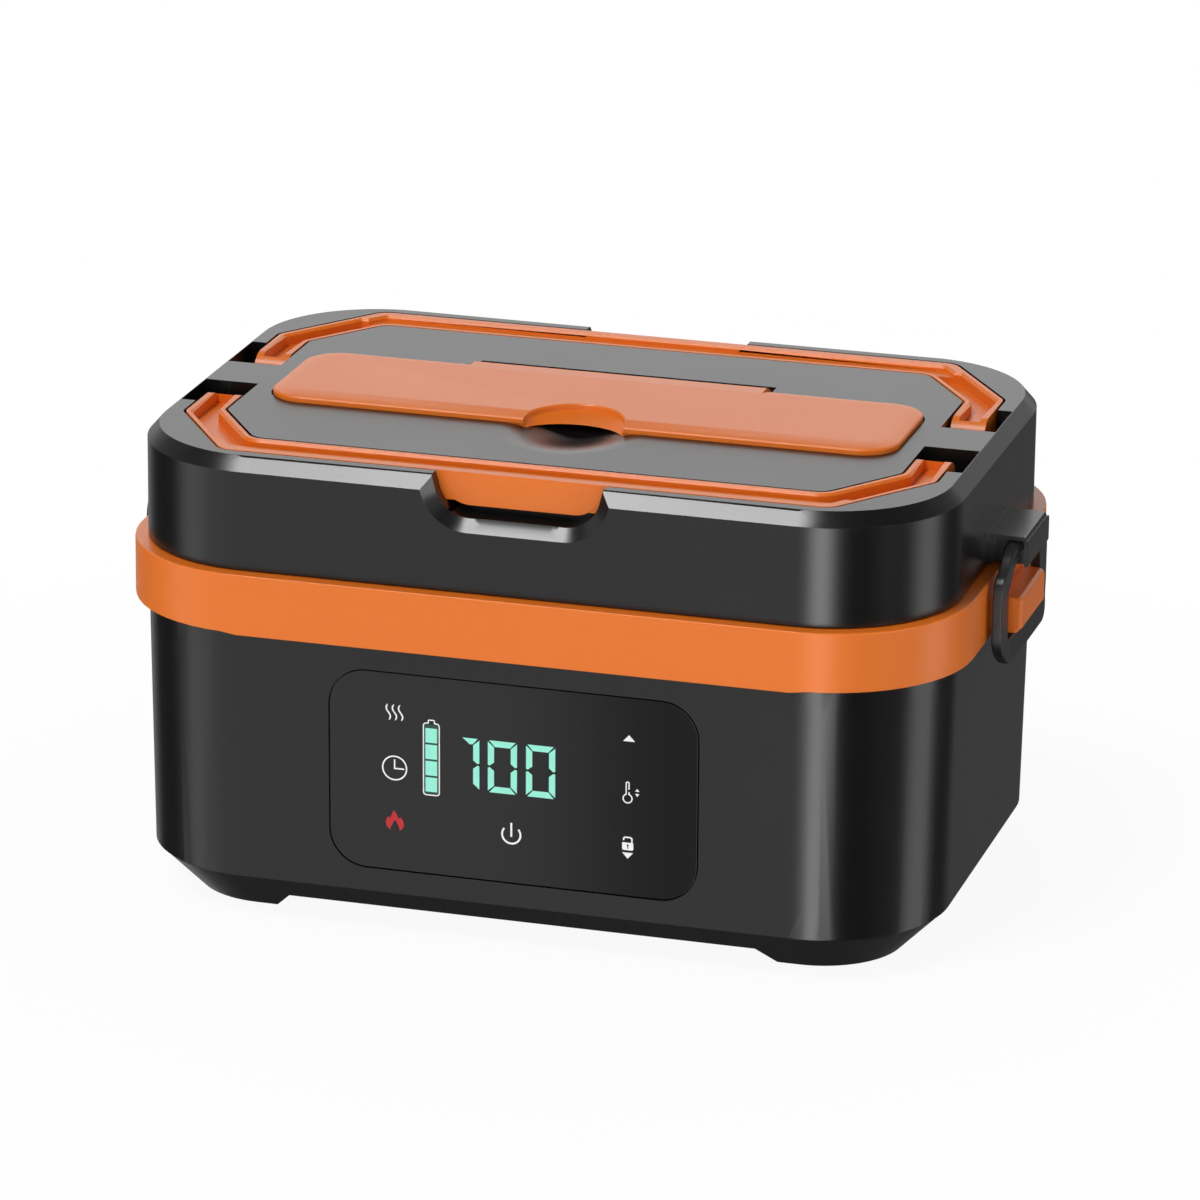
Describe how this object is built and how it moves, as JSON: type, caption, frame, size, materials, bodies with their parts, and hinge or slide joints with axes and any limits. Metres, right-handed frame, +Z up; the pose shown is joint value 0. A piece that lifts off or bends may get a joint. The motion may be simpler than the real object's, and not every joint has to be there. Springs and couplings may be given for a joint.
{
  "type": "electric lunch box",
  "caption": "Heated food carrier with lift-off lid, food pot, swing-up handles, bail latches at both ends and a covered cutlery tray.",
  "frame": {"origin": "centre of the footprint on the table, under the middle of the object", "axes": "+X to the right along the length, +Y to the back, +Z up; the front with the control panel faces -Y"},
  "size_m": [0.267, 0.1744, 0.1433],
  "materials": {
    "black_shell": "fine satin moulded plastic",
    "dark_plastic": "satin moulded plastic",
    "orange_plastic": "semi-gloss moulded plastic",
    "panel_lens": "smooth smoked lens",
    "lit_display": "lit segments",
    "soft_rubber": "soft matte rubber",
    "silicone": "soft silicone",
    "steel": "brushed",
    "aluminium": "plain",
    "board": "circuit board",
    "cell_wrap": "shrink wrap",
    "pale_plastic": "moulded plastic",
    "insulation": "fibre sheet"
  },
  "bodies": {
    "base": {"base_shell": "black_shell", "bottom_cover": "black_shell", "foot_pads": "soft_rubber", "base_screws": "steel", "trim_band": "orange_plastic", "latch_catches": "orange_plastic", "control_panel": "panel_lens", "digit_display": "lit_display", "display_board": "board", "power_board": "board", "battery_holder": "dark_plastic", "battery_cells": "cell_wrap", "inner_well": "pale_plastic", "heater_plate": "aluminium", "heater_element": "dark_plastic", "insulation_sheet": "insulation", "temperature_sensor": "aluminium", "charge_socket": "dark_plastic"},
    "charge_cover": {"charge_cover": "soft_rubber"},
    "food_pot": {"food_pot": "steel"},
    "pot_lid": {"pot_lid": "pale_plastic", "pot_lid_seal": "silicone", "vent_plug": "silicone"},
    "lid": {"lid_shell": "black_shell", "lid_liner": "dark_plastic", "lid_seal": "silicone", "lid_screws": "steel", "handle_pins": "steel", "cover_pin": "steel", "latch_pins": "steel"},
    "front_handle": {"front_handle": "orange_plastic"},
    "rear_handle": {"rear_handle": "orange_plastic"},
    "cutlery_cover": {"cutlery_cover": "orange_plastic"},
    "latch_right": {"latch_right": "dark_plastic"},
    "latch_left": {"latch_left": "dark_plastic"}
  },
  "joints": [
    {"name": "lid_lift", "type": "slide", "parent": "base", "child": "lid", "axis": [0, 0, 1], "range_m": [0, 0.12]},
    {"name": "pot_lid_lift", "type": "slide", "parent": "base", "child": "pot_lid", "axis": [0, 0, 1], "range_m": [0, 0.09]},
    {"name": "food_pot_lift", "type": "slide", "parent": "base", "child": "food_pot", "axis": [0, 0, 1], "range_m": [0, 0.06]},
    {"name": "latch_right_swing", "type": "hinge", "parent": "lid", "child": "latch_right", "pos_m": [0.12885, 0, 0.1132], "axis": [0, -1, 0], "range_deg": [0, 175]},
    {"name": "latch_left_swing", "type": "hinge", "parent": "lid", "child": "latch_left", "pos_m": [-0.12885, 0, 0.1132], "axis": [0, 1, 0], "range_deg": [0, 175]},
    {"name": "front_handle_swing", "type": "hinge", "parent": "lid", "child": "front_handle", "pos_m": [0, -0.024, 0.1348], "axis": [-1, 0, 0], "range_deg": [0, 110]},
    {"name": "rear_handle_swing", "type": "hinge", "parent": "lid", "child": "rear_handle", "pos_m": [0, 0.024, 0.1348], "axis": [1, 0, 0], "range_deg": [0, 110]},
    {"name": "cutlery_cover_hinge", "type": "hinge", "parent": "lid", "child": "cutlery_cover", "pos_m": [0, 0.0286, 0.1378], "axis": [-1, 0, 0], "range_deg": [0, 90]},
    {"name": "charge_cover_hinge", "type": "hinge", "parent": "base", "child": "charge_cover", "pos_m": [0.062, 0.0825, 0.03909], "axis": [1, 0, 0], "range_deg": [0, 120]}
  ],
  "couplings": [
    {"joint": "pot_lid_lift", "follows": "lid_lift", "ratio": 0.75},
    {"joint": "food_pot_lift", "follows": "lid_lift", "ratio": 0.5},
    {"joint": "latch_right_swing", "follows": "lid_lift", "rad_per_m": 25.451},
    {"joint": "latch_left_swing", "follows": "lid_lift", "rad_per_m": 25.451}
  ]
}
